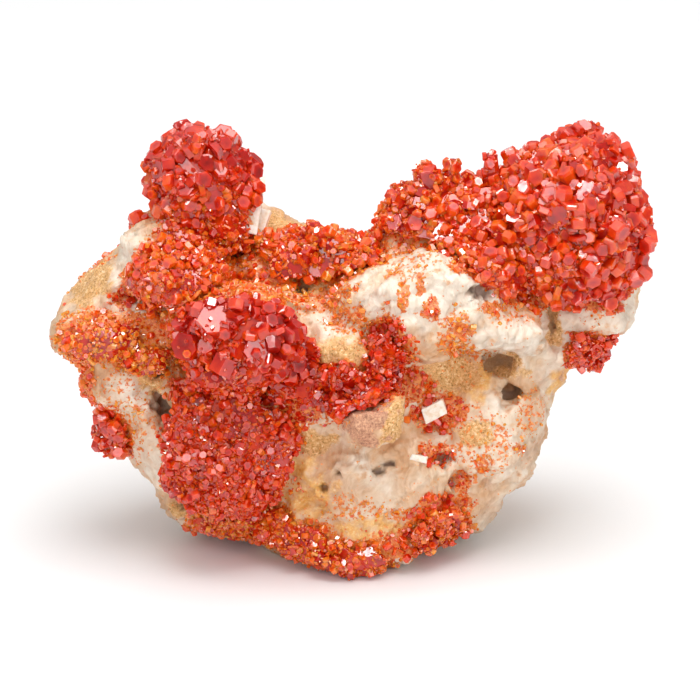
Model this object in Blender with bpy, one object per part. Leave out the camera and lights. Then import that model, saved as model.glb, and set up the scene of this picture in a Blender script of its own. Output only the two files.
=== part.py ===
"""Vanadinite on matrix: a hand specimen of red hexagonal crystals on pale barite and tan stone.

The stone stands on a flat underside. The frame is metres, +Z up, with the origin at the centre of
that underside; the show face looks along -Y and the specimen is widest along X. The tables below
are in millimetres.
"""

import math
import random

import bmesh
import bpy
from mathutils import Matrix, Vector
from mathutils.bvhtree import BVHTree

MM = 0.001

# Driving sizes, in millimetres.
CLUSTER_GAP = 0.7        # clear space between the crusts of two clusters
STONE_GRAIN = 1.0        # edge of the voxels that melt the stone's lumps into one body
STONE_WAVES = 2.2        # height of the broad swells and hollows on the stone
STONE_CHIPS = 1.7        # height of the small broken facets
STONE_FACES = 1900       # facets left on the stone, sides and back included
ENVELOPE_FACES = 1500    # facets of the grown stone that shapes the top of every crust
FIT_GAP = 0.3            # clear space between a crystal cluster and the stone under it
SKIN_DEPTH = 0.45        # the same before the cutter's edges are rounded off
SKIN_GRAIN = 0.55        # edge of the voxels that free the cutter of folds
SKIN_FACES = 2800        # facets of the cutter
CRUST_DEPTH = 1.1        # thickness of the crust that the crystals of a cluster grow from
FLOOR_GAP = 0.3          # height of the lowest crystals above what the stone stands on
MARGIN_WAVES = 5.0       # how far the edge of a cluster wanders in and out
MARGIN_FACES = 110       # facets of the rough form that bounds each part of a cluster
CLUSTER_THINNING = (0.58, 0.62, 0.68, 0.8)  # shares of a cluster's facets to keep, in order of trial
TRIES = 12               # how often a cluster is cut anew if its skin isn't closed
STRAIGHT = 0.02          # edges that turn less than this, in radians, are one edge
SHAKE = 0.04             # how far the points of its rough form are moved for that
SEED = 11

# The lumps that melt together into the stone: name, centre (x, y, z), half sizes, turn about Y.
STONE_LUMPS = (
    ("core", (-3, 2, 25), (26, 16, 20), 0),
    ("left_wing", (-31.3, 1, 34.5), (11.7, 11, 9.6), 30),
    ("left_roof", (-34.4, 3, 39.7), (9, 7, 3.7), -42),
    ("left_flange", (-38.1, -4, 35.4), (7.2, 8, 4.2), -15),
    ("left_wall", (-27.1, -3, 21.5), (9.3, 10, 12), -30),
    ("left_cheek", (-35, -3, 27.3), (5.8, 8, 5.3), 0),
    ("shoulder", (-26, 0, 44), (8.5, 9, 6.5), 20),
    ("shoulder_lobe", (-25.5, -8, 43), (6, 5, 3.5), 0),
    ("knob_neck", (-22.2, 3, 50), (5.2, 5.5, 8), 0),
    ("knob", (-22.7, 3, 56.8), (5.6, 5.5, 5.0), -10),
    ("knob_slab", (-15, 4, 50.5), (1.9, 6, 7), -12),
    ("slab_root", (-12, 6, 45.5), (4, 6, 4.4), 0),
    ("saddle", (-6, 3, 42), (13, 9, 5.5), 4),
    ("saddle_knuckle", (-1.9, -1, 47.3), (3, 3, 2.4), 0),
    ("crest_arm", (14.6, 3, 48), (12.6, 9, 6.3), -15),
    ("crest", (31.2, 2, 48), (11.6, 11, 11.4), -16),
    ("crest_top", (35.2, 3.5, 55.0), (5.1, 7, 5.6), 0),
    ("crest_end", (38.6, 2, 45), (5.6, 9, 9), 0),
    ("crest_under", (35.9, 1, 36.8), (7.4, 8, 5.6), -25),
    ("crest_lip", (32.0, -2, 31.4), (3.4, 6, 3.0), -20),
    ("barite_bulge", (12.5, -8, 40.5), (11, 8.5, 8), -25),
    ("barite_arm", (3, -8, 42.5), (6.5, 6, 3.6), -30),
    ("barite_shelf", (21.5, -6, 37), (9.5, 8, 4.2), 14),
    ("right_neck", (25.5, 0, 30), (7.5, 9.5, 8), 25),
    ("right_wall", (20.4, -2, 20.8), (9.7, 12, 12.5), 15),
    ("right_cheek", (21.2, -2, 15.5), (7.4, 9, 7), 20),
    ("heart", (-17, -12.5, 37), (9.5, 7, 7.5), 0),
    ("flank", (-18.5, -9, 19), (11, 8.5, 11.5), -20),
    ("patch", (-1, -11, 34), (6.5, 5.5, 4.2), 8),
    ("nodule", (3.2, -18, 26.6), (5.2, 4.8, 4.9), 0),
    ("lower_face", (4, -10, 13), (13, 7.5, 9), 0),
    ("foot", (-1, -3.5, 5), (14, 12.5, 8), 0),
    ("toe", (3.5, -9.5, 3.6), (8, 7.2, 5), 0),
    ("foot_left", (-19.2, -1, 10.4), (11, 10, 7.8), -26),
    ("foot_right", (13, -2, 9.6), (10, 10, 8), 30),
    ("back_left", (-14, 11, 25), (17, 10, 16), 0),
    ("back_right", (15, 11, 29), (17, 11, 16), 0),
    ("back_foot", (0, 9, 6), (16, 10.5, 9), 0),
    ("back_ridge", (-9, 17.5, 36.5), (15, 5, 3.8), 14),
    ("back_ledge", (20, 16.5, 22), (9, 5, 3.4), -18),
    ("back_knuckle", (5, 18.5, 24), (5.5, 4.5, 5), -20),
    ("back_step", (-19, 15, 15), (8.5, 6, 3.8), 16),
    ("back_crest_rib", (25, 11, 47), (3.4, 4.5, 9), 30),
)

# Hollows worn or broken into the stone: name, centre, half sizes, turn about Y.
STONE_HOLLOWS = (
    ("left_pocket", (-33, -11, 40.3), (6.5, 6.5, 2.6), -20),
    ("long_hollow", (-3, -19, 29.5), (11, 6, 2.3), -4),
    ("cavern", (22.5, -11, 31.2), (3.4, 6.5, 2.3), 15),
    ("cavern_below", (24.2, -10, 26.6), (2.8, 5.5, 1.5), 0),
    ("crest_crevice", (30, -9, 37.2), (1.9, 5, 3.2), 10),
    ("terrace_hole", (-6.8, -7, 43.3), (2.1, 6, 2.1), 0),
    ("neck_crevice", (-16.5, -4, 47), (3.6, 6, 1.7), 12),
    ("heart_gap", (-28.3, -12, 24.6), (1.9, 6, 6.5), -35),
    ("barite_cut", (17, -17, 42.5), (2.4, 4, 5), 50),
    ("lower_crack", (8.2, -19, 19), (5, 5, 0.9), -20),
    ("toe_crack", (16.5, -14, 15.2), (2.6, 4, 1.2), 30),
    ("nodule_gap", (10.2, -18, 26.5), (1.5, 5, 4.6), 8),
    ("nodule_undercut", (3.4, -21.5, 20.4), (5.8, 5, 1.3), 4),
    ("back_hollow", (-5, 24, 28.5), (11, 6.5, 3.2), 12),
    ("back_crevice", (13, 22, 36), (2.2, 7, 6.5), 40),
    ("back_pit", (-27, 14, 30), (3, 5, 2.4), -20),
)

# Crystal clusters: node name, the ellipsoids that bound it as (centre, half sizes), how many
# crystals, and the smallest and largest crystal radius.
CLUSTERS = (
    ("knob_crystals",
     (((-23, 2.5, 58.5), (10, 11, 9)), ((-21.5, -2, 50), (7, 6, 5))), 20, (1.2, 2.1)),
    ("shoulder_crystals",
     (((-25.5, -8, 44.5), (7.2, 7, 4.4)), ((-23, -6, 48), (5, 5, 3))), 12, (1.1, 1.7)),
    ("left_wing_crystals", (((-37, -8, 35), (6.8, 7, 3.4)), ((-31, -10, 33), (5, 4, 2))), 7, (0.9, 1.3)),
    ("left_edge_crystals", (((-35, -5, 19.5), (3.5, 6, 4.6)),), 5, (1.0, 1.4)),
    ("heart_crystals",
     (((-17, -19, 37.5), (9.3, 7, 6.8)), ((-9, -18, 35), (5, 5, 5))), 18, (1.3, 2.3)),
    ("flank_crystals",
     (((-18.5, -17, 18.5), (10.5, 8, 10.5)), ((-20, -16, 28), (7, 6, 5))), 22, (1.0, 1.7)),
    ("hollow_crystals",
     (((-3.6, -16.5, 29.8), (8.8, 6.4, 3.2)), ((5, -14, 33), (2.8, 5, 4.2))), 8, (0.9, 1.2)),
    ("saddle_crystals", (((-5.5, -2, 46.5), (8.2, 8, 3)), ((1.5, -4, 46.2), (3.4, 5, 2.6))), 9, (1.1, 1.7)),
    ("crest_crystals",
     (((33.5, -2, 52), (12.5, 14, 13.5)), ((36, 7, 60), (10, 11, 9)), ((23, -4, 49.5), (10, 11, 8)),
      ((12.5, 0, 53), (10, 8, 4.4))),
     54, (1.2, 2.2)),
    ("foot_crystals", (((-13, -12, 5.5), (11, 8, 3)), ((-1, -15, 2.5), (8, 6, 3))), 9, (1.0, 1.5)),
    ("toe_crystals", (((12.5, -12, 6.3), (5.5, 6, 4.2)),), 6, (1.0, 1.6)),
    ("lip_crystals", (((36, -5, 32), (3.8, 5, 2.6)),), 5, (1.1, 1.6)),
)


# Large crystals placed one by one: cluster, the stone nearest to (x, y, z), the direction of the
# crystal's long axis, radius, length, and how much narrower its far end is.
CHOSEN_CRYSTALS = (
    ("knob_crystals", (-29.5, -2, 59), (-0.75, -0.6, 0.1), 2.0, 2.2, 1.0),
    ("knob_crystals", (-27, 0, 62), (-0.9, 0.2, 0.55), 1.9, 1.5, 1.0),
    ("knob_crystals", (-23.5, 0, 64), (0.2, -0.35, 0.9), 1.9, 2.0, 0.85),
    ("knob_crystals", (-19, -2, 62.5), (0.55, -0.6, 0.5), 2.2, 2.0, 0.95),
    ("knob_crystals", (-16.5, -2, 58.5), (0.8, -0.3, 0.5), 1.6, 1.7, 1.0),
    ("knob_crystals", (-24, -5, 57), (-0.2, -0.5, 0.8), 1.9, 1.4, 1.0),
    ("knob_crystals", (-20, -5, 55), (0.1, -0.8, 0.5), 1.8, 1.6, 1.0),
    ("heart_crystals", (-19.5, -19, 41), (0.1, -0.55, 0.85), 2.8, 1.9, 0.95),
    ("heart_crystals", (-23.5, -18, 37.5), (-0.5, -0.85, 0.2), 2.2, 2.0, 1.0),
    ("heart_crystals", (-14, -19.5, 38), (0.3, -0.95, 0.3), 2.0, 2.2, 1.0),
    ("heart_crystals", (-16, -18, 42), (0.2, -0.3, 0.95), 1.8, 1.6, 1.0),
    ("heart_crystals", (-21, -19, 33), (-0.4, -0.7, -0.5), 2.3, 1.7, 1.0),
    ("crest_crystals", (11.3, 0, 57.5), (-0.2, -0.15, 1.0), 1.9, 4.6, 0.9),
    ("crest_crystals", (15, 0, 58.5), (0.0, -0.1, 1.0), 1.6, 5.2, 0.45),
    ("crest_crystals", (19.6, 0, 59.5), (0.0, -0.1, 1.0), 1.5, 4.6, 0.6),
    ("crest_crystals", (36, -2, 63.5), (0.6, -0.75, 0.2), 2.6, 2.2, 1.0),
    ("crest_crystals", (40.5, 0, 62), (0.3, -0.35, 0.9), 2.0, 1.9, 1.0),
    ("crest_crystals", (36, -6, 57), (-0.2, -0.6, 0.75), 2.4, 2.0, 1.0),
    ("crest_crystals", (38, -6, 51), (0.2, -0.5, 0.85), 2.2, 1.6, 1.0),
    ("crest_crystals", (32, -8, 48), (0.3, -0.85, 0.45), 2.3, 1.8, 1.0),
    ("crest_crystals", (42, -4, 49), (0.5, -0.5, 0.7), 2.0, 1.6, 1.0),
    ("crest_crystals", (34, -8, 44), (-0.3, -0.8, 0.5), 2.0, 1.8, 1.0),
    ("foot_crystals", (-0.5, -16, 1.8), (0.1, -0.7, -0.3), 1.6, 1.8, 0.9),
    ("toe_crystals", (11, -14, 4.5), (-0.1, -0.8, 0.5), 1.6, 1.6, 1.0),
)


def clear_scene():
    for thing in list(bpy.data.objects):
        bpy.data.objects.remove(thing)


def material(name, colour, roughness):
    made = bpy.data.materials.new(name)
    made.use_nodes = True
    shader = made.node_tree.nodes["Principled BSDF"]
    shader.inputs["Base Color"].default_value = (*colour, 1)
    shader.inputs["Roughness"].default_value = roughness
    made.diffuse_color = (*colour, 1)
    return made


def add_object(name, mesh, helper=False):
    """An object of that mesh. A helper is a cutter or a former, and isn't part of the specimen."""
    made = bpy.data.objects.new(name, mesh)
    bpy.context.scene.collection.objects.link(made)
    if helper:
        made.hide_render = True
        made.display_type = "WIRE"
    return made


def show(owner):
    """Makes a helper a part of the specimen."""
    owner.hide_render = False
    owner.display_type = "TEXTURED"


def mesh_of(name, shape):
    """Turns a bmesh into a mesh and frees it."""
    mesh = bpy.data.meshes.new(name)
    shape.to_mesh(mesh)
    shape.free()
    return mesh


def add_ellipsoid(shape, centre, half_sizes, turn=0, rounds=3):
    """Adds an ellipsoid to a bmesh; its sizes are in millimetres and its turn is in degrees."""
    place = Matrix.Translation(Vector(centre) * MM)
    place @= Matrix.Rotation(math.radians(turn), 4, "Y")
    place @= Matrix.Diagonal((*(size * MM for size in half_sizes), 1))
    bmesh.ops.create_icosphere(shape, subdivisions=rounds, radius=1, matrix=place)


def add_modifier(owner, kind, **settings):
    modifier = owner.modifiers.new(kind.title(), kind)
    for key, value in settings.items():
        setattr(modifier, key, value)
    return modifier


def bake(owner):
    """Replaces an object's mesh by what its modifiers make of it."""
    bpy.context.view_layer.update()
    graph = bpy.context.evaluated_depsgraph_get()
    mesh = bpy.data.meshes.new_from_object(owner.evaluated_get(graph))
    owner.modifiers.clear()
    owner.data = mesh


def noise_texture(name, kind, size, **settings):
    texture = bpy.data.textures.new(name, kind)
    texture.noise_scale = size * MM
    for key, value in settings.items():
        setattr(texture, key, value)
    return texture


def ellipsoids(name, table, rounds=3):
    """One helper object that holds every ellipsoid of a table of (name, centre, sizes, turn)."""
    shape = bmesh.new()
    for _, centre, half_sizes, turn in table:
        add_ellipsoid(shape, centre, half_sizes, turn, rounds)
    return add_object(name, mesh_of(name, shape), helper=True)


def floor_cutter(name, height):
    """A block whose top face is the plane, at a height in millimetres, that trims what is over it."""
    shape = bmesh.new()
    place = Matrix.Translation((0, 0, (height - 20) * MM))
    place @= Matrix.Diagonal((120 * MM, 120 * MM, 40 * MM, 1))
    bmesh.ops.create_cube(shape, size=1, matrix=place)
    return add_object(name, mesh_of(name, shape), helper=True)


def cut_with(owner, cutter, operation="DIFFERENCE", with_itself=False):
    add_modifier(owner, "BOOLEAN", operation=operation, object=cutter, solver="EXACT",
                 use_self=with_itself)


def tree_of(owner):
    """A search tree of an object's surface."""
    bpy.context.view_layer.update()
    return BVHTree.FromObject(owner, bpy.context.evaluated_depsgraph_get())


def count_faces(owner):
    """Triangles in an object's mesh."""
    return sum(len(face.vertices) - 2 for face in owner.data.polygons)


def thin_out(owner, faces):
    """Merges the facets of an object until about that many are left."""
    add_modifier(owner, "DECIMATE", ratio=min(1, faces / count_faces(owner)))
    bake(owner)


def is_closed(mesh):
    """Whether every edge of a mesh joins two faces and every point is the tip of one fan."""
    shape = bmesh.new()
    shape.from_mesh(mesh)
    closed = all(edge.is_manifold for edge in shape.edges)
    closed = closed and all(point.is_manifold for point in shape.verts)
    shape.free()
    return closed


def triangulate(owner):
    """Splits an object's faces in triangles, after dropping the points that lie along an edge."""
    shape = bmesh.new()
    shape.from_mesh(owner.data)
    spare = [point for point in shape.verts
             if len(point.link_edges) == 2 and point.calc_edge_angle(math.pi) < STRAIGHT]
    bmesh.ops.dissolve_verts(shape, verts=spare)
    bmesh.ops.triangulate(shape, faces=shape.faces)
    shape.to_mesh(owner.data)
    shape.free()


def merge_slivers(cluster):
    """Merges the thin facets that the cuts leave, and says whether the skin stayed closed."""
    uncut = cluster.data.copy()
    for share in CLUSTER_THINNING:
        thin_out(cluster, share * count_faces(cluster))
        if is_closed(cluster.data):
            return True
        cluster.data = uncut.copy()
    return False


def make_fine_stone():
    """The stone before its facets are merged: lumps melted together, hollowed and chipped."""
    stone = ellipsoids("matrix", STONE_LUMPS)
    add_modifier(stone, "REMESH", mode="VOXEL", voxel_size=STONE_GRAIN * MM)
    bake(stone)
    cut_with(stone, ellipsoids("hollow_cutters", STONE_HOLLOWS), with_itself=True)
    add_modifier(stone, "REMESH", mode="VOXEL", voxel_size=STONE_GRAIN * MM)
    add_modifier(stone, "SMOOTH", factor=0.5, iterations=3)
    waves = noise_texture("stone_waves", "CLOUDS", 9, noise_depth=1)
    chips = noise_texture("stone_chips", "VORONOI", 4.5, distance_metric="DISTANCE")
    add_modifier(stone, "DISPLACE", texture=waves, strength=STONE_WAVES * MM, mid_level=0.5)
    add_modifier(stone, "DISPLACE", texture=chips, strength=STONE_CHIPS * MM, mid_level=0.4)
    bake(stone)
    return stone


def make_envelope(fine_stone):
    """The stone grown by the depth of a crust: the outer face of every crust lies on it."""
    envelope = add_object("crust_envelope", fine_stone.data.copy(), helper=True)
    add_modifier(envelope, "DISPLACE", strength=(FIT_GAP + CRUST_DEPTH) * MM, mid_level=0)
    add_modifier(envelope, "REMESH", mode="VOXEL", voxel_size=STONE_GRAIN * MM)
    bake(envelope)
    thin_out(envelope, ENVELOPE_FACES)
    return envelope


def make_stone(fine_stone, floor):
    """The matrix: the fine stone's facets merged into larger ones, and its foot trimmed flat."""
    thin_out(fine_stone, STONE_FACES)
    cut_with(fine_stone, floor)
    bake(fine_stone)
    show(fine_stone)
    return fine_stone


def make_skin(stone):
    """The stone grown by the fit gap, which cuts the underside of every cluster."""
    shape = bmesh.new()
    shape.from_mesh(stone.data)
    bmesh.ops.triangulate(shape, faces=shape.faces)
    shape.normal_update()
    moves = [point.normal * SKIN_DEPTH * MM * min(point.calc_shell_factor(), 1.8)
             for point in shape.verts]
    for point, move in zip(shape.verts, moves):
        point.co += move
    skin = add_object("stone_skin", mesh_of("stone_skin", shape), helper=True)
    add_modifier(skin, "REMESH", mode="VOXEL", voxel_size=SKIN_GRAIN * MM)
    bake(skin)
    thin_out(skin, SKIN_FACES)
    return skin


def add_crystal(shape, place, radius, thickness, taper=1.0):
    """Adds one hexagonal tablet or prism to a bmesh, its long axis along place's Z."""
    bmesh.ops.create_cone(
        shape, cap_ends=True, segments=6, radius1=radius * MM, radius2=radius * taper * MM,
        depth=thickness * MM, matrix=place)


def random_direction(dice):
    turn = dice.uniform(0, math.tau)
    height = dice.uniform(-1, 1)
    across = math.sqrt(1 - height * height)
    return Vector((across * math.cos(turn), across * math.sin(turn), height))


def offset_in(point, reach):
    """How far out a point is in an ellipsoid: 0 at its centre and 1 on its surface."""
    centre, half_sizes = reach
    return Vector((p / MM - c) / h for p, c, h in zip(point, centre, half_sizes)).length


def is_clear_of(point, distance, neighbours):
    """Whether a point is outside the neighbours' forms and at least that far from them."""
    for reaches, tree in neighbours:
        if tree.find_nearest(point)[3] < distance:
            return False
        if any(offset_in(point, reach) < 1 for reach in reaches):
            return False
    return True


def crystal_sites(surface, neighbours, reaches, count, radii, dice):
    """Chooses spread-out crystals over the stone: lists of (middle, stone's normal, radius)."""
    sites = []
    smallest, largest = radii
    for _ in range(count * 60):
        if len(sites) == count:
            break
        reach = dice.choice(reaches)
        outward = random_direction(dice)
        share = dice.uniform(0.2, 0.85)
        guess = Vector(c + h * share * o for c, h, o in zip(*reach, outward)) * MM
        point, normal, _, _ = surface.find_nearest(guess)
        offset = offset_in(point, reach)
        if offset > 0.86:
            continue
        size = largest - (largest - smallest) * dice.random() ** 0.6
        radius = max(smallest, size * (1.1 - 0.5 * offset))
        middle = point + normal * (FIT_GAP + CRUST_DEPTH + dice.uniform(0.1, 0.6) * radius) * MM
        if not is_clear_of(middle, (1.3 * radius + CLUSTER_GAP) * MM, neighbours):
            continue
        if all((middle - other).length > 0.72 * (radius + near) * MM for other, _, near in sites):
            sites.append((middle, normal, radius))
    return sites


def rough_forms():
    """For each cluster, a form with a ragged edge that holds it and keeps clear of the others."""
    forms = {}
    for name, reaches, _, _ in CLUSTERS:
        form = ellipsoids(name, [("", centre, half_sizes, 0) for centre, half_sizes in reaches])
        add_modifier(form, "REMESH", mode="VOXEL", voxel_size=0.8 * MM)
        ragged = noise_texture(name + "_margin", "CLOUDS", 3.5, noise_depth=1)
        add_modifier(form, "DISPLACE", texture=ragged, strength=MARGIN_WAVES * MM, mid_level=0.55)
        add_modifier(form, "REMESH", mode="VOXEL", voxel_size=0.8 * MM)
        bake(form)
        thin_out(form, MARGIN_FACES * len(reaches))
        for other in forms.values():
            wider = add_object(other.name + "_widened", other.data.copy(), helper=True)
            add_modifier(wider, "DISPLACE", strength=CLUSTER_GAP * MM, mid_level=0)
            bake(wider)
            cut_with(form, wider)
        bake(form)
        forms[name] = form
    return forms


def scattered_crystals(shape, sites, dice):
    """Adds crystals to a bmesh that stand at odd angles in the crust over the stone's surface."""
    for middle, normal, radius in sites:
        axis = (normal * dice.uniform(0.0, 0.9) + random_direction(dice) * 0.9).normalized()
        thickness = radius * dice.uniform(0.8, 1.6)
        place = Matrix.Translation(middle)
        place @= axis.to_track_quat("Z", "X").to_matrix().to_4x4()
        place @= Matrix.Rotation(dice.uniform(0, math.tau), 4, "Z")
        add_crystal(shape, place, radius, thickness)


def chosen_crystals(shape, name, surface):
    """Adds the cluster's large crystals that are placed one by one."""
    for cluster, near, axis, radius, length, taper in CHOSEN_CRYSTALS:
        if cluster != name:
            continue
        point, normal, _, _ = surface.find_nearest(Vector(near) * MM)
        axis = Vector(axis).normalized()
        lift = FIT_GAP + 0.5 + abs(axis.dot(normal)) * (0.5 * length - 0.5)
        lift += math.sqrt(1 - min(1, axis.dot(normal) ** 2)) * 0.5 * radius
        place = Matrix.Translation(point + normal * lift * MM)
        place @= axis.to_track_quat("Z", "X").to_matrix().to_4x4()
        add_crystal(shape, place, radius, length, taper)


def grow_crystals(cluster, sites, surface, skin, floor, dice):
    """Stands crystals in a crust and cuts the lot clear of the stone and of the ground."""
    shape = bmesh.new()
    chosen_crystals(shape, cluster.name, surface)
    scattered_crystals(shape, sites, dice)
    tablets = cluster.name + "_tablets"
    cut_with(cluster, add_object(tablets, mesh_of(tablets, shape), helper=True), "UNION", True)
    cut_with(cluster, skin)
    cut_with(cluster, floor)
    bake(cluster)
    keep_largest_body(cluster)
    triangulate(cluster)


def make_cluster(cluster, sites, surface, skin, envelope, floor, dice):
    """Turns a rough form into a crust on the stone with crystals standing in it.

    A cut can leave two edges on each other by chance. The form is then shaken a little and cut anew.
    """
    form = cluster.data.copy()
    for _ in range(TRIES):
        cluster.data = form.copy()
        for point in cluster.data.vertices:
            point.co += random_direction(dice) * SHAKE * MM
        cut_with(cluster, envelope, "INTERSECT")
        bake(cluster)
        triangulate(cluster)
        grow_crystals(cluster, sites, surface, skin, floor, dice)
        if is_closed(cluster.data) and merge_slivers(cluster):
            break
    show(cluster)


def keep_largest_body(owner):
    """Drops the crumbs that the cuts left loose from a cluster."""
    shape = bmesh.new()
    shape.from_mesh(owner.data)
    bodies = []
    unseen = set(shape.verts)
    while unseen:
        body = {unseen.pop()}
        edge_of_body = list(body)
        while edge_of_body:
            point = edge_of_body.pop()
            for edge in point.link_edges:
                other = edge.other_vert(point)
                if other in unseen:
                    unseen.discard(other)
                    body.add(other)
                    edge_of_body.append(other)
        bodies.append(body)
    bodies.sort(key=len)
    for body in bodies[:-1]:
        bmesh.ops.delete(shape, geom=list(body), context="VERTS")
    shape.to_mesh(owner.data)
    shape.free()


def main():
    clear_scene()
    dice = random.Random(SEED)
    fine_stone = make_fine_stone()
    envelope = make_envelope(fine_stone)
    stone = make_stone(fine_stone, floor_cutter("stone_floor_cutter", 0))
    skin = make_skin(stone)
    crystal_floor = floor_cutter("crystal_floor_cutter", FLOOR_GAP)
    stone.data.materials.clear()
    stone.data.materials.append(material("barite_and_stone", (0.80, 0.68, 0.55), 0.7))
    red = material("vanadinite", (0.62, 0.06, 0.02), 0.25)
    surface = tree_of(stone)
    forms = rough_forms()
    trees = {name: tree_of(form) for name, form in forms.items()}
    for name, reaches, count, radii in CLUSTERS:
        neighbours = [(cluster[1], trees[cluster[0]]) for cluster in CLUSTERS if cluster[0] != name]
        sites = crystal_sites(surface, neighbours, reaches, count, radii, dice)
        make_cluster(forms[name], sites, surface, skin, envelope, crystal_floor, dice)
        forms[name].data.materials.clear()
        forms[name].data.materials.append(red)


main()
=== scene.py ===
"""Vanadinite on matrix: the finish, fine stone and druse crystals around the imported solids."""

import math
import random

import bmesh
import bpy
import numpy as np
from bpy.props import FloatProperty, FloatVectorProperty, IntProperty, PointerProperty
from mathutils import Matrix, Vector, noise
from mathutils.bvhtree import BVHTree


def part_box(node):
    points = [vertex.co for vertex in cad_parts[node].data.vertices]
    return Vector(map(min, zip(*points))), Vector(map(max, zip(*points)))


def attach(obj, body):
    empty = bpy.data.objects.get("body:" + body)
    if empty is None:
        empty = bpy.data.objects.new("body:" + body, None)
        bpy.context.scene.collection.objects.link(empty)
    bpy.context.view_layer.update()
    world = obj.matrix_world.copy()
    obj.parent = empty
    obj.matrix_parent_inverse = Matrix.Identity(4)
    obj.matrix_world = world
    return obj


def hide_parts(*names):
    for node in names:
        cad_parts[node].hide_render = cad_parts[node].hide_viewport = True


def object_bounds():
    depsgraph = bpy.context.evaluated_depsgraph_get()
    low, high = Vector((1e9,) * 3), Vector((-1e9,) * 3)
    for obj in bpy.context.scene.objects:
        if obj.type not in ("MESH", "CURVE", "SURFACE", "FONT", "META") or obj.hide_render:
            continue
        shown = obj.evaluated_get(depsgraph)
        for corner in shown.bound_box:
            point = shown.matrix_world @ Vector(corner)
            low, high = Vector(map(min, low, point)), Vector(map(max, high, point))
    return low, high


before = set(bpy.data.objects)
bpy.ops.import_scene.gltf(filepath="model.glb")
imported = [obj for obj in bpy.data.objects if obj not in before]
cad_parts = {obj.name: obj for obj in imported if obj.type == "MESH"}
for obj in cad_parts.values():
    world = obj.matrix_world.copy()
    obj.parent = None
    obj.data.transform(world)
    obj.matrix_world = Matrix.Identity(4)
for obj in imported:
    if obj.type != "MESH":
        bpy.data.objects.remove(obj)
cad_box = [[float(n) for n in corner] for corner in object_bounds()]

bl_info = {
    "name": "Vanadinite on matrix",
    "version": (1, 0, 0),
    "blender": (4, 5, 0),
    "location": "3D View > Sidebar > Specimen",
    "description": "Fine stone, druse crystals, materials and a studio for a vanadinite specimen",
    "category": "Object",
}

MM = 0.001
# The stone rounds off over this distance as it nears the part's box.
EDGE = 0.8 * MM
# How far round a cluster its small crystals spread on the stone: thickest up to the second
# distance, then thinning over the third.
HALO, HALO_FULL, HALO_FADE = 3.0 * MM, 0.8 * MM, 2.2 * MM
# How many crystals are tried for each square mm, on the clusters and on the stone.
TRIED_ON_CLUSTERS = 4.5
TRIED_ON_STONE = 5.0
# Barite cleaves at 78 degrees, so a blade leans by the rest of a right angle.
BLADE_LEAN = math.radians(90 - 78)
# The nodule stays bare of crystals up to this height along VIEW_UP, in metres.
NODULE_TOP = 0.024
# Refractive index of barite. Vanadinite's is about 2.4, and its luster is resinous, so the shine
# is held back.
BARITE_IOR = 1.64
VANADINITE_IOR = 1.75

# The front view: the eye looks along +Y and down by this angle, at this point.
VIEW_TILT = math.radians(20)
VIEW_DISTANCE = 0.58333
VIEW_MIDDLE = Vector((0, -0.004457, 0.031715))
VIEW_ALONG = Vector((0, math.cos(VIEW_TILT), -math.sin(VIEW_TILT)))
VIEW_UP = Vector((0, math.sin(VIEW_TILT), math.cos(VIEW_TILT)))

# Where the key light and the fill lights stand, and the small ones for the glints, in metres.
KEY = (0.06, -0.10, 0.78)
FILLS = {"left_fill_light": (-0.34, -0.58, 0.24), "right_fill_light": (0.36, -0.52, 0.28)}
GLINTS = (
    (-0.08, -0.28, 0.70),
    (0.16, -0.14, 0.74),
    (-0.44, -0.16, 0.58),
    (0.44, -0.12, 0.58),
    (-0.20, 0.16, 0.74),
    (0.30, -0.34, 0.62),
    (-0.26, -0.36, 0.58),
)
# How wide each kind of light is, in metres.
KEY_SIZE, FILL_SIZE, GLINT_SIZE = 0.55, 0.30, 0.11

# Patches of the front, each where it is seen: mm right of and above the middle, then its two radii.
# For barite, how white it is comes last, and for pits, how deep a brown they are inside: partly
# brown earth, partly painted shade.
BARITE = (
    (15.8, 12.0, 9.5, 8.3, 1.0),
    (7.5, 7.5, 6.5, 3.2, 1.0),
    (-15.3, 21.0, 1.9, 4.6, 0.8),
    (-33.8, 15.5, 3.2, 3.2, 0.8),
    (24.0, 1.5, 7.5, 4.0, 0.9),
    (-34.0, -12.0, 3.8, 9.0, 0.6),
    (-30.5, -16.0, 3.0, 6.0, 0.5),
    (41.0, 6.5, 4.0, 6.5, 1.0),
    (33.0, 5.0, 4.0, 2.5, 0.9),
    (4.5, -22.0, 10.0, 4.6, 0.25),
    (24.0, -14.0, 8.0, 6.5, 0.45),
    (22.0, -24.0, 5.0, 3.5, 0.4),
    (-41.0, 0.5, 1.6, 5.5, 0.7),
    (-30.0, 6.8, 3.2, 1.7, 0.5),
    (-1.0, 3.0, 4.0, 1.5, 0.4),
    (31.5, -3.0, 3.5, 6.0, 0.8),
)
OCHRE = (
    (-39.2, 10.2, 4.8, 3.6),
    (-10.5, 19.0, 3.6, 3.0),
    (-2.3, -1.8, 5.6, 3.0),
    (15.0, -3.6, 4.4, 3.0),
    (-30.0, -3.0, 2.6, 4.2),
    (-6.2, -14.0, 4.4, 1.7),
    (18.8, -12.6, 2.8, 2.0),
    (24.0, -2.4, 3.0, 2.2),
    (-6.0, 10.0, 2.8, 2.2),
    (-14.0, 17.0, 3.0, 2.0),
    (30.5, 3.5, 1.2, 3.4),
    (22.0, 18.6, 2.4, 1.5),
    (-26.0, -24.0, 2.0, 1.5),
    (7.2, -10.9, 3.8, 4.3),
)
NODULE = ((2.0, -10.4, 3.7, 4.6),)
YELLOW = (
    (-3.8, 0.6, 4.5, 1.7),
    (-7.0, -21.5, 5.5, 4.2),
    (-9.5, -17.0, 4.0, 3.0),
    (31.4, -4.8, 2.8, 3.2),
    (3.0, -27.0, 5.0, 2.0),
    (19.0, -4.5, 3.0, 3.0),
    (41.5, 19.0, 1.5, 3.0),
)
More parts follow.
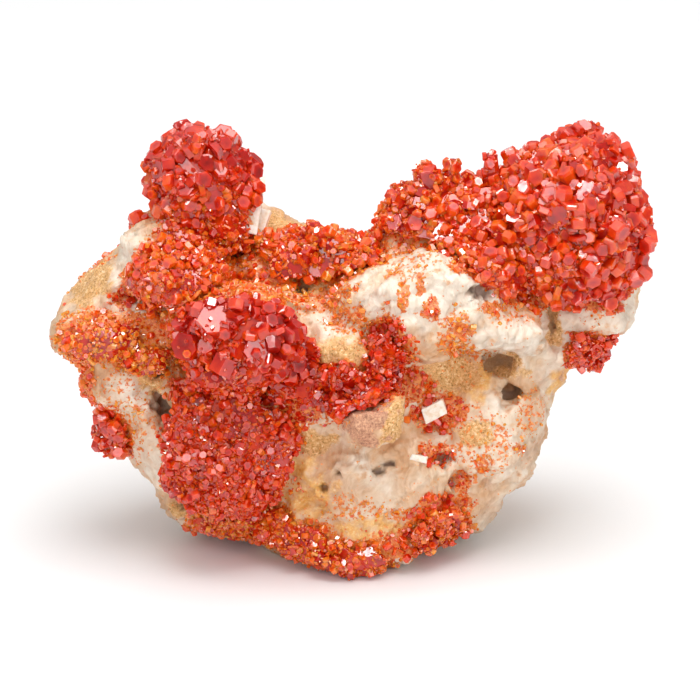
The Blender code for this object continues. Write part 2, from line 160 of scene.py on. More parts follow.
PITS = (
    (-6.8, 9.8, 1.5, 1.3, 1.0),
    (-17.2, 15.0, 3.2, 1.0, 1.0),
    (19.2, 8.6, 1.9, 1.2, 1.0),
    (22.8, -1.8, 3.0, 1.4, 0.3),
    (20.4, -1.0, 0.9, 0.7, 0.9),
    (24.4, -6.4, 2.0, 0.9, 0.6),
    (22.6, -5.6, 0.6, 0.5, 1.0),
    (30.2, 4.6, 0.9, 2.0, 0.5),
    (-27.6, -7.6, 1.5, 2.6, 0.7),
    (-29.0, -2.0, 1.2, 1.6, 0.5),
    (13.8, -16.4, 1.8, 1.1, 1.0),
    (-4.0, -21.0, 0.7, 0.7, 0.8),
    (-2.0, -18.6, 0.5, 0.4, 0.8),
    (4.4, -18.1, 0.8, 0.6, 1.0),
    (5.6, -17.2, 1.1, 0.5, 1.0),
    (-26.0, -23.4, 1.4, 0.9, 0.8),
    (15.6, -20.6, 0.6, 1.4, 0.9),
    (14.4, -22.4, 0.6, 1.4, 0.9),
    (24.0, -0.6, 1.6, 0.5, 0.9),
    (-28.0, 6.0, 2.5, 1.0, 0.1),
)
# What the fifth number of a patch is called.
FIFTH = {"barite": "white", "pit": "painted_pit_shade"}
# Patches of small crystals on the stone: the same four numbers, how closely they cover it,
# their mean radius in mm and their tint, from 0 deep red to 1 orange.
DRUSE_PATCHES = (
    (-24.5, 13.5, 7.0, 6.0, 1.0, 0.42, 0.62),
    (-30.0, 11.5, 5.0, 2.4, 1.0, 0.50, 0.45),
    (-14.5, 12.5, 7.5, 4.2, 0.85, 0.42, 0.72),
    (-4.0, 15.2, 8.0, 4.0, 0.85, 0.42, 0.66),
    (-13.0, 8.8, 8.0, 2.6, 0.85, 0.36, 0.80),
    (-3.5, 8.2, 7.0, 3.2, 0.75, 0.36, 0.80),
    (0.0, 4.6, 5.0, 2.2, 0.60, 0.32, 0.78),
    (-34.0, -10.0, 5.0, 9.0, 0.36, 0.24, 0.88),
    (-29.0, -4.0, 3.0, 3.5, 0.45, 0.28, 0.85),
    (18.0, -2.0, 5.5, 4.0, 0.46, 0.24, 0.92),
    (15.5, 1.5, 2.4, 5.0, 0.60, 0.28, 0.88),
    (19.5, -14.0, 5.0, 5.0, 0.44, 0.24, 0.90),
    (27.0, -9.0, 3.0, 4.0, 0.38, 0.22, 0.92),
    (24.0, 5.0, 4.0, 2.0, 0.42, 0.22, 0.90),
    (9.0, 12.5, 4.0, 3.0, 0.42, 0.24, 0.92),
    (-34.0, 7.6, 2.2, 1.6, 0.90, 0.36, 0.42),
    (-27.0, 3.0, 4.5, 4.0, 0.95, 0.36, 0.70),
    (-26.0, -2.0, 3.0, 3.0, 0.70, 0.30, 0.72),
    (-31.8, 19.4, 1.6, 1.4, 0.90, 0.70, 0.45),
    (3.0, -8.0, 4.0, 1.2, 0.55, 0.30, 0.72),
    (-3.0, -23.5, 9.0, 2.4, 0.42, 0.26, 0.88),
    (6.0, -25.0, 8.0, 1.8, 0.45, 0.26, 0.85),
    (-2.0, 0.0, 4.5, 3.0, 0.36, 0.24, 0.90),
    (2.5, 15.5, 5.0, 3.8, 0.95, 0.45, 0.60),
    (-37.0, 2.0, 7.0, 4.4, 1.0, 0.32, 0.74),
    (-31.0, 2.8, 5.0, 3.0, 0.95, 0.32, 0.80),
    (-17.0, 2.0, 10.5, 7.0, 1.0, 0.50, 0.35),
    (-7.5, -7.0, 11.0, 3.8, 1.0, 0.38, 0.40),
    (-19.5, -13.0, 9.5, 9.0, 1.0, 0.42, 0.42),
    (-15.5, -22.0, 9.0, 4.5, 0.8, 0.34, 0.66),
    (6.0, 1.0, 3.6, 5.2, 1.0, 0.36, 0.50),
    (8.5, -5.0, 5.5, 2.4, 0.95, 0.34, 0.55),
    (13.2, -9.2, 4.8, 3.2, 0.95, 0.36, 0.58),
    (9.8, -6.8, 3.0, 1.6, 0.90, 0.34, 0.60),
    (-17.0, -27.0, 9.0, 1.9, 1.0, 0.42, 0.66),
    (-5.0, -29.5, 8.5, 2.2, 1.0, 0.42, 0.62),
    (7.5, -28.8, 7.5, 2.6, 1.0, 0.42, 0.60),
    (13.5, -24.5, 5.5, 3.2, 1.0, 0.42, 0.60),
    (13.0, -15.6, 3.0, 2.0, 0.8, 0.34, 0.50),
    (-41.5, 4.5, 2.2, 3.0, 0.7, 0.34, 0.85),
    (-36.3, -10.0, 3.0, 4.0, 0.8, 0.42, 0.55),
    (-39.5, -5.0, 1.6, 4.5, 0.9, 0.34, 0.70),
    (-21.5, 20.0, 5.0, 4.5, 1.0, 0.50, 0.45),
    (18.0, 17.5, 11.0, 2.8, 0.9, 0.42, 0.62),
    (8.5, 15.6, 2.6, 1.4, 0.90, 0.32, 0.80),
    (13.2, 15.4, 2.2, 1.6, 0.95, 0.36, 0.74),
    (16.6, 12.8, 1.6, 1.8, 0.95, 0.34, 0.76),
    (24.0, 8.8, 2.4, 1.9, 0.95, 0.38, 0.66),
    (28.6, 7.4, 1.6, 1.6, 0.90, 0.34, 0.74),
    (34.0, 8.2, 2.4, 1.6, 0.90, 0.36, 0.66),
    (39.6, 9.6, 1.4, 2.4, 0.85, 0.34, 0.70),
    (28.0, 11.0, 6.0, 5.0, 0.9, 0.46, 0.55),
    (37.5, 9.5, 6.0, 4.5, 0.8, 0.40, 0.60),
    (37.0, 0.5, 3.2, 1.8, 1.0, 0.42, 0.45),
    (10.6, 9.6, 0.6, 2.2, 0.9, 0.28, 0.88),
    (8.2, 8.4, 0.8, 2.6, 0.8, 0.28, 0.88),
    (6.6, 11.0, 1.6, 0.8, 0.7, 0.26, 0.90),
    (12.2, 6.2, 1.4, 1.6, 1.0, 0.32, 0.72),
    (21.0, 6.4, 1.9, 0.9, 0.9, 0.28, 0.86),
    (16.8, 3.0, 1.6, 1.0, 0.9, 0.28, 0.88),
    (15.6, -0.2, 0.9, 3.6, 0.9, 0.28, 0.86),
    (17.0, 0.5, 2.2, 4.0, 0.5, 0.26, 0.90),
    (19.8, -17.2, 1.4, 1.8, 0.7, 0.28, 0.82),
    (18.8, -14.4, 2.0, 1.2, 0.5, 0.26, 0.85),
    (25.5, -15.0, 1.0, 1.4, 0.6, 0.28, 0.82),
    (16.5, -20.0, 1.8, 2.6, 0.8, 0.34, 0.62),
    (1.0, -4.0, 3.5, 1.2, 0.6, 0.30, 0.75),
    (5.0, -6.6, 3.5, 1.4, 0.8, 0.32, 0.62),
    (-13.0, 17.0, 2.5, 1.5, 0.4, 0.30, 0.80),
)
# Ledges where barite plates broke off, seen from the front: both ends in mm right of and above the
# middle, and how far the side to the right of that line (looking along it) stands out, in mm.
LEDGES = (
    (-0.8, 3.2, 12.2, 17.4, 1.3),
    (12.0, 6.0, 4.0, -1.0, 0.5),
    (31.0, 2.6, 17.5, 0.2, 1.3),
    (28.0, -8.5, 19.0, -6.8, 0.7),
    (14.0, 9.0, 20.5, 3.0, 0.6),
    (26.0, 8.0, 24.0, 2.0, 0.5),
    (-27.0, -6.0, -33.0, -16.0, 0.6),
    (-38.5, 4.0, -36.0, -9.0, 0.6),
    (28.0, -18.0, 15.0, -21.5, 0.5),
    (30.5, -7.0, 27.0, -16.5, 0.6),
    (24.5, -15.5, 20.0, -25.0, 0.6),
    (-30.5, 13.0, -36.0, 11.0, 0.6),
)
# Loose blades and chips of barite: where each is seen, its length, width and thickness in mm, how
# far it is turned and tipped in degrees, and how far it stands out of the stone in mm.
BLADES = (
    (-14.6, 21.8, 8.4, 2.8, 1.6, 82, 8, 0.9),
    (-13.6, 18.6, 5.0, 2.2, 1.4, 70, -12, 0.6),
    (-15.6, 24.6, 4.4, 2.0, 1.3, 98, 14, 0.7),
    (12.7, -9.0, 3.6, 2.4, 1.4, 24, 20, 0.6),
    (10.4, -16.2, 2.4, 1.0, 0.9, -14, 16, 0.15),
    (-2.1, -2.9, 1.5, 1.1, 0.8, 40, 15, 0.2),
    (-14.5, -0.2, 1.2, 0.9, 0.7, 60, 10, 0.2),
)
# Patches round the sides and back, each at a point of the part in mm: x, y, z, radius,
# then coverage, mean radius and tint.
BACK_PATCHES = (
    (-22.0, 8.0, 50.0, 7.0, 0.9, 0.45, 0.50),
    (-36.0, 6.0, 38.0, 6.0, 0.7, 0.36, 0.72),
    (-18.0, 18.0, 36.0, 5.0, 0.6, 0.34, 0.70),
    (10.0, 14.0, 46.0, 8.0, 0.8, 0.38, 0.62),
    (28.0, 10.0, 58.0, 9.0, 0.9, 0.45, 0.50),
    (40.0, 8.0, 44.0, 6.0, 0.8, 0.40, 0.55),
    (0.0, 20.0, 22.0, 6.0, 0.5, 0.34, 0.75),
    (-30.0, 2.0, 18.0, 5.0, 0.6, 0.36, 0.65),
    (22.0, 12.0, 16.0, 5.0, 0.5, 0.34, 0.70),
)
# Crystals get larger across a cluster: how much the mm right and the mm up count, the sums between
# which they grow, and the share of their full size they start from.
GRADES = {
    "knob_crystals": (0.0, 1.0, 18, 27, 0.45),
    "crest_crystals": (1.0, 0.5, 14, 50, 0.40),
    "heart_crystals": (0.6, 1.0, -14, -6, 0.6),
}
# How far apart the three noises of a drift are read.
DRIFT_APART = ((9.3, -1.5, -8.0), (0.0, 0.0, 0.0), (-5.1, 7.7, 2.9))
# How each cluster's own crust of crystals looks: smallest and largest radius in mm, thickness over
# radius, how far the crystals lean, and tint.
CLUSTER_DRUSE = {
    "knob_crystals": (0.35, 1.75, 1.1, 0.8, 0.32),
    "shoulder_crystals": (0.28, 0.90, 1.2, 0.9, 0.55),
    "left_wing_crystals": (0.22, 0.60, 1.3, 1.0, 0.72),
    "left_edge_crystals": (0.40, 1.10, 1.1, 0.9, 0.45),
    "heart_crystals": (0.30, 1.50, 1.0, 0.8, 0.24),
    "flank_crystals": (0.25, 0.80, 1.3, 1.0, 0.42),
    "hollow_crystals": (0.22, 0.60, 2.0, 1.2, 0.36),
    "saddle_crystals": (0.28, 0.90, 1.2, 0.9, 0.60),
    "crest_crystals": (0.35, 1.75, 1.1, 0.85, 0.36),
    "foot_crystals": (0.22, 0.64, 1.2, 0.9, 0.64),
    "toe_crystals": (0.28, 0.85, 1.1, 0.9, 0.60),
    "lip_crystals": (0.28, 0.75, 1.2, 0.9, 0.42),
}


def linear(text):
    """An sRGB hex colour as linear RGBA."""
    parts = [int(text[i : i + 2], 16) / 255 for i in (1, 3, 5)]
    return tuple(c / 12.92 if c <= 0.04045 else ((c + 0.055) / 1.055) ** 2.4 for c in parts) + (1,)


def add_node(tree, kind, settings=None, links=None, stops=None):
    """Adds a node: settings go on it, links are socket values or sockets, stops fill a ramp."""
    node = tree.nodes.new(kind)
    for name, value in (settings or {}).items():
        setattr(node, name, value)
    for name, value in (links or {}).items():
        if isinstance(value, bpy.types.NodeSocket):
            tree.links.new(value, node.inputs[name])
        else:
            node.inputs[name].default_value = value
    if stops:
        ramp = node.color_ramp.elements
        while len(ramp) < len(stops):
            ramp.new(1)
        for element, (position, colour) in zip(ramp, stops):
            element.position = position
            element.color = colour
    return node


def new_material(name):
    """A material with an empty node tree, its output node and its tree."""
    made = bpy.data.materials.new(name)
    made.use_nodes = True
    made.node_tree.nodes.clear()
    return made, made.node_tree, made.node_tree.nodes.new("ShaderNodeOutputMaterial")


def new_piece(name, mesh, material):
    """Shows a mesh as a piece of the body, with its material."""
    piece = bpy.data.objects.new(name, mesh)
    bpy.context.scene.collection.objects.link(piece)
    mesh.materials.append(material)
    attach(piece, "root")
    return piece


def merged(node):
    """A bmesh copy of a CAD node with its loose triangles joined."""
    mesh = bmesh.new()
    mesh.from_mesh(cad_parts[node].data)
    bmesh.ops.remove_doubles(mesh, verts=mesh.verts[:], dist=1e-6)
    return mesh


def bevel(mesh, edges, width, segments):
    """Cuts edges of a bmesh."""
    bmesh.ops.bevel(
        mesh,
        geom=edges,
        offset=width,
        offset_type="OFFSET",
        segments=segments,
        profile=0.5,
        affect="EDGES",
        material=-1,
    )


def seen_at(tree, across, up):
    """The point of a surface seen that many mm right of and above the middle of the front view."""
    eye = VIEW_MIDDLE - VIEW_ALONG * VIEW_DISTANCE
    aim = VIEW_MIDDLE + Vector((across * MM, 0, 0)) + VIEW_UP * up * MM
    hit = tree.ray_cast(eye, (aim - eye).normalized())[0]
    return hit or tree.find_nearest(aim)[0]


def seen_from_front(points):
    """How many mm right of and above the middle of the front view each point lies."""
    return points[:, 0] * 1000, (points - np.array(VIEW_MIDDLE)) @ np.array(VIEW_UP) * 1000


def drift(place):
    """A vector of three noises, the same in every run, which Blender's noise_vector isn't."""
    return Vector([noise.noise(place + Vector(apart)) for apart in DRIFT_APART])


def in_patches(points, middles, wobble):
    """How much each point is in each patch, from 0 outside to 1 well inside."""
    up = np.array(VIEW_UP)
    along = np.array(VIEW_ALONG)
    shares = []
    for middle, across, high in middles:
        away = points - np.array(middle)
        deep = max(across, high)
        reach = np.sqrt(
            (away[:, 0] / across) ** 2 + (away @ up / high) ** 2 + (away @ along / deep) ** 2
        )
        shares.append(np.clip((1.25 + wobble - reach) / 0.5, 0, 1))
    return np.array(shares)


class StoneLook(bpy.types.PropertyGroup):
    """Sizes and colours of the stone."""

    voxel: FloatProperty(
        name="Voxel",
        description="Edge of the stone's mesh",
        default=0.47 * MM,
        unit="LENGTH",
        precision=5,
    )
    relief: FloatProperty(
        name="Blade relief",
        description="Height of the barite's ribs",
        default=0.36 * MM,
        unit="LENGTH",
        precision=5,
    )
    step: FloatProperty(
        name="Cleavage step",
        description="Height of the ledges where the barite broke along its cleavage",
        default=0.42 * MM,
        unit="LENGTH",
        precision=5,
    )
    pit_depth: FloatProperty(
        name="Pit depth",
        description="How far the open pits go in",
        default=1.3 * MM,
        unit="LENGTH",
        precision=5,
    )
    barite: FloatVectorProperty(
        name="Barite",
        description="Colour of the silky white barite",
        subtype="COLOR",
        size=4,
        default=linear("#E2C4A4"),
    )
    limonite: FloatVectorProperty(
        name="Limonite",
        description="Colour of the earthy tan limonite",
        subtype="COLOR",
        size=4,
        default=linear("#E0AC70"),
    )


class CrystalLook(bpy.types.PropertyGroup):
    """Sizes and colours of the vanadinite crystals."""

    spacing: FloatProperty(
        name="Spacing",
        description="Least distance between two crystals, over the sum of their radii",
        default=0.46,
    )
    stone_spacing: FloatProperty(
        name="Spacing on the stone",
        description="The same for the small crystals on the stone",
        default=0.6,
    )
    seed: IntProperty(name="Seed", description="Where the crystals fall", default=5)
    deep: FloatVectorProperty(
        name="Deep red",
        description="Colour of the thickest crystals",
        subtype="COLOR",
        size=4,
        default=linear("#8A0A03"),
    )
    bright: FloatVectorProperty(
        name="Orange",
        description="Colour of the thinnest crystals",
        subtype="COLOR",
        size=4,
        default=linear("#F09C38"),
    )


class StageLook(bpy.types.PropertyGroup):
    """The floor and the light."""

    floor: FloatVectorProperty(
        name="Floor",
        description="Colour of the floor",
        subtype="COLOR",
        size=4,
        default=linear("#EBEBEB"),
    )
    key: FloatProperty(
        name="Key light",
        description="Power of the soft light overhead",
        default=4.0,
        unit="POWER",
    )
    fill: FloatProperty(
        name="Fill lights",
        description="Power of each light in front",
        default=0.95,
        unit="POWER",
    )
    glint: FloatProperty(
        name="Glint lights",
        description="Power of each small light that makes the faces sparkle",
        default=0.75,
        unit="POWER",
    )


class SPECIMEN_OT_stage(bpy.types.Operator):
    """Make the floor, the lights and the camera"""

    bl_idname = "specimen.stage"
    bl_label = "Stage"

    def execute(self, context):
        look = context.scene.stage_look
        mesh = bmesh.new()
        bmesh.ops.create_grid(mesh, x_segments=1, y_segments=1, size=4)
        sheet = bpy.data.meshes.new("floor")
        mesh.to_mesh(sheet)
        mesh.free()
        floor = bpy.data.objects.new("floor", sheet)
        context.scene.collection.objects.link(floor)
        # Matt white paper: even and without a shine.
        paper, tree, out = new_material("matt_white_paper")
        shader = add_node(
            tree,
            "ShaderNodeBsdfPrincipled",
            links={"Base Color": tuple(look.floor), "Roughness": 0.9, "Specular IOR Level": 0.1},
        )
        tree.links.new(shader.outputs[0], out.inputs[0])
        sheet.materials.append(paper)
        self.light_world(context)
        self.add_light("key_light", KEY, KEY_SIZE, look.key)
        for name, place in FILLS.items():
            self.add_light(name, place, FILL_SIZE, look.fill)
        # Small bright lights that only shiny faces show.
        for number, place in enumerate(GLINTS):
            glint = self.add_light("glint_light_%d" % number, place, GLINT_SIZE, look.glint)
            glint.visible_diffuse = False
            glint.visible_transmission = False
        camera = bpy.data.objects.new("camera", bpy.data.cameras.new("camera"))
        camera.data.lens = 200
        camera.data.sensor_width = 36
        camera.location = VIEW_MIDDLE - VIEW_ALONG * VIEW_DISTANCE
        camera.rotation_euler = (math.pi / 2 - VIEW_TILT, 0, 0)
        context.scene.collection.objects.link(camera)
        context.scene.camera = camera
        context.scene.view_settings.view_transform = "Standard"
        return {"FINISHED"}

    def light_world(self, context):
        """A bright ceiling over darker walls, so that faces turned up shine and others stay red."""
        world = bpy.data.worlds.new("studio")
        context.scene.world = world
        world.use_nodes = True
        tree = world.node_tree
        tree.nodes.clear()
        place = add_node(tree, "ShaderNodeTexCoord")
        split = add_node(tree, "ShaderNodeSeparateXYZ", links={0: place.outputs["Generated"]})
        height = add_node(
            tree,
            "ShaderNodeValToRGB",
            links={0: split.outputs["Z"]},
            stops=((0.05, (0.18,) * 3 + (1,)), (0.45, (0.5,) * 3 + (1,)), (0.8, (1.0,) * 3 + (1,))),
        )
        ray = add_node(tree, "ShaderNodeLightPath")
        shown = add_node(
            tree,
            "ShaderNodeMix",
            {"data_type": "RGBA"},
            {0: ray.outputs["Is Camera Ray"], 6: height.outputs[0], 7: (1, 1, 1, 1)},
        )
        back = add_node(tree, "ShaderNodeBackground", links={0: shown.outputs[2]})
        out = add_node(tree, "ShaderNodeOutputWorld", links={0: back.outputs[0]})
        out.is_active_output = True

    def add_light(self, name, place, size, power):
        """A square light that looks at the middle of the part."""
        lamp = bpy.data.lights.new(name, "AREA")
        lamp.size = size
        lamp.energy = power
        light = bpy.data.objects.new(name, lamp)
        light.location = place
        light.rotation_euler = (VIEW_MIDDLE - Vector(place)).to_track_quat("-Z", "Y").to_euler()
        bpy.context.scene.collection.objects.link(light)
        return light


class SPECIMEN_OT_stone(bpy.types.Operator):
    """Cover the matrix with fine stone: ribbed barite, earthy limonite and pits"""

    bl_idname = "specimen.stone"
    bl_label = "Stone"

    def execute(self, context):
        look = context.scene.stone_look
        fine = self.remesh(merged("matrix"), look.voxel)
        tree = BVHTree.FromBMesh(fine)
        fine.verts.ensure_lookup_table()
        points = np.array([v.co[:] for v in fine.verts])
        # How ragged a patch's edge is, as a share of its radius.
        wobble = np.array([noise.fractal(v.co * 450, 0.6, 2.0, 3) for v in fine.verts]) * 0.35
        fields = {}
        for name, patches in (
            ("barite", BARITE),
            ("ochre", OCHRE),
            ("nodule", NODULE),
            ("yellow", YELLOW),
            ("pit", PITS),
            ("druse", DRUSE_PATCHES),
        ):
            middles = [(seen_at(tree, p[0], p[1]), p[2] * MM, p[3] * MM) for p in patches]
            # A pit's rim is more ragged than the edge of a stain.
            shares = in_patches(points, middles, wobble * (2.6 if name == "pit" else 1))
            if name != "druse":
                fields[name] = shares.max(axis=0)
                if name in FIFTH:
                    fifth = np.array([p[4] for p in patches])[:, None]
                    fields[FIFTH[name]] = (shares * fifth).max(axis=0)
                continue
            for p in BACK_PATCHES:
                away = np.linalg.norm(points - np.array(p[:3]) * MM, axis=1) / (p[3] * MM)
                shares = np.vstack((shares, np.clip((1.25 + wobble * 2 - away) / 0.5, 0, 1)))
            every = DRUSE_PATCHES + BACK_PATCHES
            cover = np.array([p[-3] for p in every])[:, None] * shares
            most = cover.argmax(axis=0)
            fields["cover"] = cover.max(axis=0)
            fields["grain"] = np.array([p[-2] for p in every])[most]
            fields["tint"] = np.array([p[-1] for p in every])[most]
        self.near_clusters(fine, fields)
        fields["ochre"] = np.maximum(fields["ochre"], self.back_ochre(fine, points))
        # Clean barite and earthy stone keep all but the nearest crystals off.
        bare = np.maximum(fields["barite"], np.maximum(fields["ochre"], fields["yellow"]))
        halo = fields["near"] * 0.95 * np.where(fields["near"] > 0.9, 1, 1 - 0.85 * bare)
        fields["cover"] *= 1 - 0.6 * np.maximum(fields["ochre"], fields["yellow"])
        wins = halo > fields["cover"]
        for name, value in (("cover", halo), ("grain", 0.36), ("tint", fields["near_tint"])):
            fields[name] = np.where(wins, value, fields[name])
        fields["cover"] *= 1 - 0.9 * fields["nodule"] * (points @ np.array(VIEW_UP) < NODULE_TOP)
        self.carve(fine, fields, look)
        mesh = bpy.data.meshes.new("fine_stone")
        fine.to_mesh(mesh)
        fine.free()
        for name in ("white", "ochre", "nodule", "yellow", "pit", "painted_pit_shade", "cover", "grain", "tint"):
            layer = mesh.attributes.new(name, "FLOAT", "POINT")
            layer.data.foreach_set("value", np.asarray(fields[name], dtype=np.float32))
        for polygon in mesh.polygons:
            polygon.use_smooth = True
        piece = new_piece("fine_stone", mesh, self.finish(look))
        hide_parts("matrix")
        return {"FINISHED"}

    def remesh(self, coarse, voxel):
        """The matrix with an even mesh, softly rounded."""
        mesh = bpy.data.meshes.new("coarse")
        coarse.to_mesh(mesh)
        coarse.free()
        helper = bpy.data.objects.new("coarse", mesh)
        bpy.context.scene.collection.objects.link(helper)
        remesher = helper.modifiers.new("even", "REMESH")
        remesher.mode = "VOXEL"
        remesher.voxel_size = voxel
        graph = bpy.context.evaluated_depsgraph_get()
        fine = bmesh.new()
        fine.from_mesh(helper.evaluated_get(graph).to_mesh())
        bpy.data.objects.remove(helper)
        bmesh.ops.smooth_vert(
            fine, verts=fine.verts[:], factor=0.5, use_axis_x=True, use_axis_y=True, use_axis_z=True
        )
        fine.normal_update()
        return fine

    def near_clusters(self, fine, fields):
        """How near the stone is to a cluster, and the tint of the crystals there."""
        near = np.zeros(len(fine.verts))
        tints = np.zeros(len(fine.verts))
        for name, (*_, tint) in CLUSTER_DRUSE.items():
            cluster = merged(name)
            tree = BVHTree.FromBMesh(cluster)
            low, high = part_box(name)
            for vert in fine.verts:
                if any(not low[i] - HALO < vert.co[i] < high[i] + HALO for i in range(3)):
                    continue
                gap = tree.find_nearest(vert.co, HALO)[3]
                if gap is None:
                    continue
                share = 1 - max(0, gap - HALO_FULL) / HALO_FADE
                i = vert.index
                if share > near[i]:
                    near[i] = share
                    # The small crystals are lighter than the cluster's own.
                    tints[i] = min(1, tint + 0.22)
            cluster.free()
        fields["near"] = near
        fields["near_tint"] = tints

    def back_ochre(self, fine, points):
        """Earthy patches round the back and sides, about 11 mm apart."""
        apart = Vector((3, 1, 7))
        spots = np.array([noise.fractal(v.co * 90 + apart, 0.7, 2.1, 3) for v in fine.verts])
        behind = np.clip((points[:, 1] + 0.002) / 0.006, 0, 1)
        return np.clip(spots * 2.2 - 0.25, 0, 1) * behind

    def carve(self, fine, fields, look):
        """Moves the stone in and out: barite ribs, earthy lumps and pits. The base stays flat."""
        low, high = cad_box
        fields["ledge"] = self.ledges(np.array([v.co[:] for v in fine.verts]))
        names = ("ochre", "nodule", "pit", "cover", "near", "ledge")
        rows = zip(fine.verts, *(fields[name] for name in names))
        for vert, ochre, nodule, pit, cover, near, ledge in rows:
            ochre = max(ochre, nodule)
            place = vert.co * 1000
            # The blades are long along X and lean, so the pattern is stretched and turned.
            x, y, z = place
            turn = Vector((x * 0.16 + z * 0.1, y * 0.4, z * 0.5 - x * 0.2))
            turn += drift(place * 0.12) * 1.2
            ribs = 1 - abs(noise.fractal(turn, 0.8, 2.0, 2)) * 2.2
            lumps = noise.fractal(place * 0.9, 0.7, 2.2, 3)
            earthy = min(1, ochre + cover * 0.7)
            height = (ribs * (1 - earthy) + lumps * 1.1 * earthy) * look.relief
            height -= look.relief * 0.4
            # Each broken plate has a height and a tilt of its own.
            plate = noise.voronoi(turn * 1.3)[1][0]
            tilt = drift(plate * 3.7).dot(turn * 1.3 - plate)
            step = (noise.noise(plate * 5.3) * 1.2 + tilt * 1.6) * look.step
            height += step * (1 - near) * (1 - ochre)
            height += ledge * MM * max(0, vert.normal.dot(-VIEW_ALONG)) * (1 - near)
            height -= pit * look.pit_depth
            base = min(1, max(0, (vert.co.z - 0.3 * MM) / (1.5 * MM)))
            spot = vert.co + vert.normal * height * base
            for i in range(3):
                over = spot[i] - (high[i] - EDGE)
                under = low[i] + EDGE - spot[i]
                if over > 0:
                    spot[i] = high[i] - EDGE * math.exp(-over / EDGE)
                elif under > 0 and i < 2:
                    spot[i] = low[i] + EDGE * math.exp(-under / EDGE)
            spot.z = max(spot.z, 0)
            if vert.co.z < 0.35 * MM:
                spot.z = 0
            vert.co = spot
        fine.normal_update()

    def ledges(self, points):
        """How far each point stands out with the broken plates, in mm."""
        across, up = seen_from_front(points)
        across = across + np.array([noise.noise(Vector(p) * 300) for p in points]) * 0.9
        up = up + np.array([noise.noise(Vector(p) * 300 + Vector((7, 7, 7))) for p in points]) * 0.9
        out = np.zeros(len(points))
        for x0, y0, x1, y1, height in LEDGES:
            long = math.hypot(x1 - x0, y1 - y0)
            ux, uy = (x1 - x0) / long, (y1 - y0) / long
            along = (across - x0) * ux + (up - y0) * uy
            side = (across - x0) * uy - (up - y0) * ux
            ends = np.clip(np.minimum(along, long - along) / 1.5 + 0.5, 0, 1)
            # The ledge rises over 0.45 mm and fades over 3.5 mm behind its edge.
            rise = np.clip(side / 0.45 + 0.5, 0, 1)
            out += height * ends * rise * np.exp(-np.maximum(side, 0) / 3.5)
        return out

    def finish(self, look):
        """Silky barite, earthy limonite, a pink nodule, iron stains and pits of brown earth and
        painted shade, from attributes.

        Barite grown as packed blades shines softly along its fibres. Limonite is an earthy crust
        of grains about 0.4 mm across, dull and rough."""
        made, tree, out = new_material("barite_and_limonite_as_grown")
        place = add_node(tree, "ShaderNodeTexCoord").outputs["Object"]
        attribute = {
            name: add_node(tree, "ShaderNodeAttribute", {"attribute_name": name}).outputs["Fac"]
            for name in ("white", "ochre", "nodule", "yellow", "pit", "painted_pit_shade", "cover")
        }
        # Fibres 0.7 mm apart and about 4 mm long, bent by slow noise.
        bend = add_node(
            tree, "ShaderNodeTexNoise", links={"Vector": place, "Scale": 120, "Detail": 3}
        ).outputs["Color"]
        bent = add_node(
            tree, "ShaderNodeMix", {"data_type": "VECTOR"}, {0: 0.012, 4: place, 5: bend}
        ).outputs[1]
        fibre_place, plate_place = (
            add_node(
                tree,
                "ShaderNodeMapping",
                links={"Vector": bent, "Rotation": (0.3, 0.5, 0.4), "Scale": stretch},
            ).outputs[0]
            for stretch in ((1.0, 0.5, 0.16), (1.0, 0.8, 0.45))
        )
        # A scale is so many to the metre: clouds are 6 mm apart, mottling 2 mm, grains 0.4 mm, and
        # specks 0.7 mm, which are the smallest orange crystals, thickest near the druse.
        fibres, clouds, grains, mottle, specks = (
            add_node(
                tree,
                "ShaderNodeTexNoise",
                links={"Vector": spot, "Scale": scale, "Detail": detail, "Roughness": rough},
            ).outputs["Fac"]
            for spot, scale, detail, rough in (
                (fibre_place, 1400, 4, 0.6),
                (place, 160, 5, 0.5),
                (place, 2600, 3, 0.7),
                (place, 520, 4, 0.5),
                (place, 1500, 2, 0.5),
            )
        )
        cloud_tone = add_node(
            tree,
            "ShaderNodeValToRGB",
            links={0: clouds},
            stops=(
                (0.28, linear("#C08A5C")),
                (0.42, linear("#D6A87C")),
                (0.54, tuple(look.barite)),
                (0.68, linear("#F3E6D6")),
            ),
        ).outputs[0]
        fibre_tone = add_node(
            tree,
            "ShaderNodeValToRGB",
            links={0: fibres},
            stops=((0.3, linear("#D9BFA6")), (0.6, (1, 1, 1, 1))),
        ).outputs[0]
        # Broken barite shows flat faces about 3 mm wide, longer along the fibres: each cell of the
        # pattern is a plane with a tilt of its own.
        plates = add_node(tree, "ShaderNodeTexVoronoi", links={"Vector": plate_place, "Scale": 330})
        away, lean = (
            add_node(
                tree, "ShaderNodeVectorMath", {"operation": "SUBTRACT"}, {0: first, 1: second}
            ).outputs[0]
            for first, second in (
                (plate_place, plates.outputs["Position"]),
                (plates.outputs["Color"], (0.5, 0.5, 0.5)),
            )
        )
        plane = add_node(
            tree, "ShaderNodeVectorMath", {"operation": "DOT_PRODUCT"}, {0: away, 1: lean}
        ).outputs["Value"]
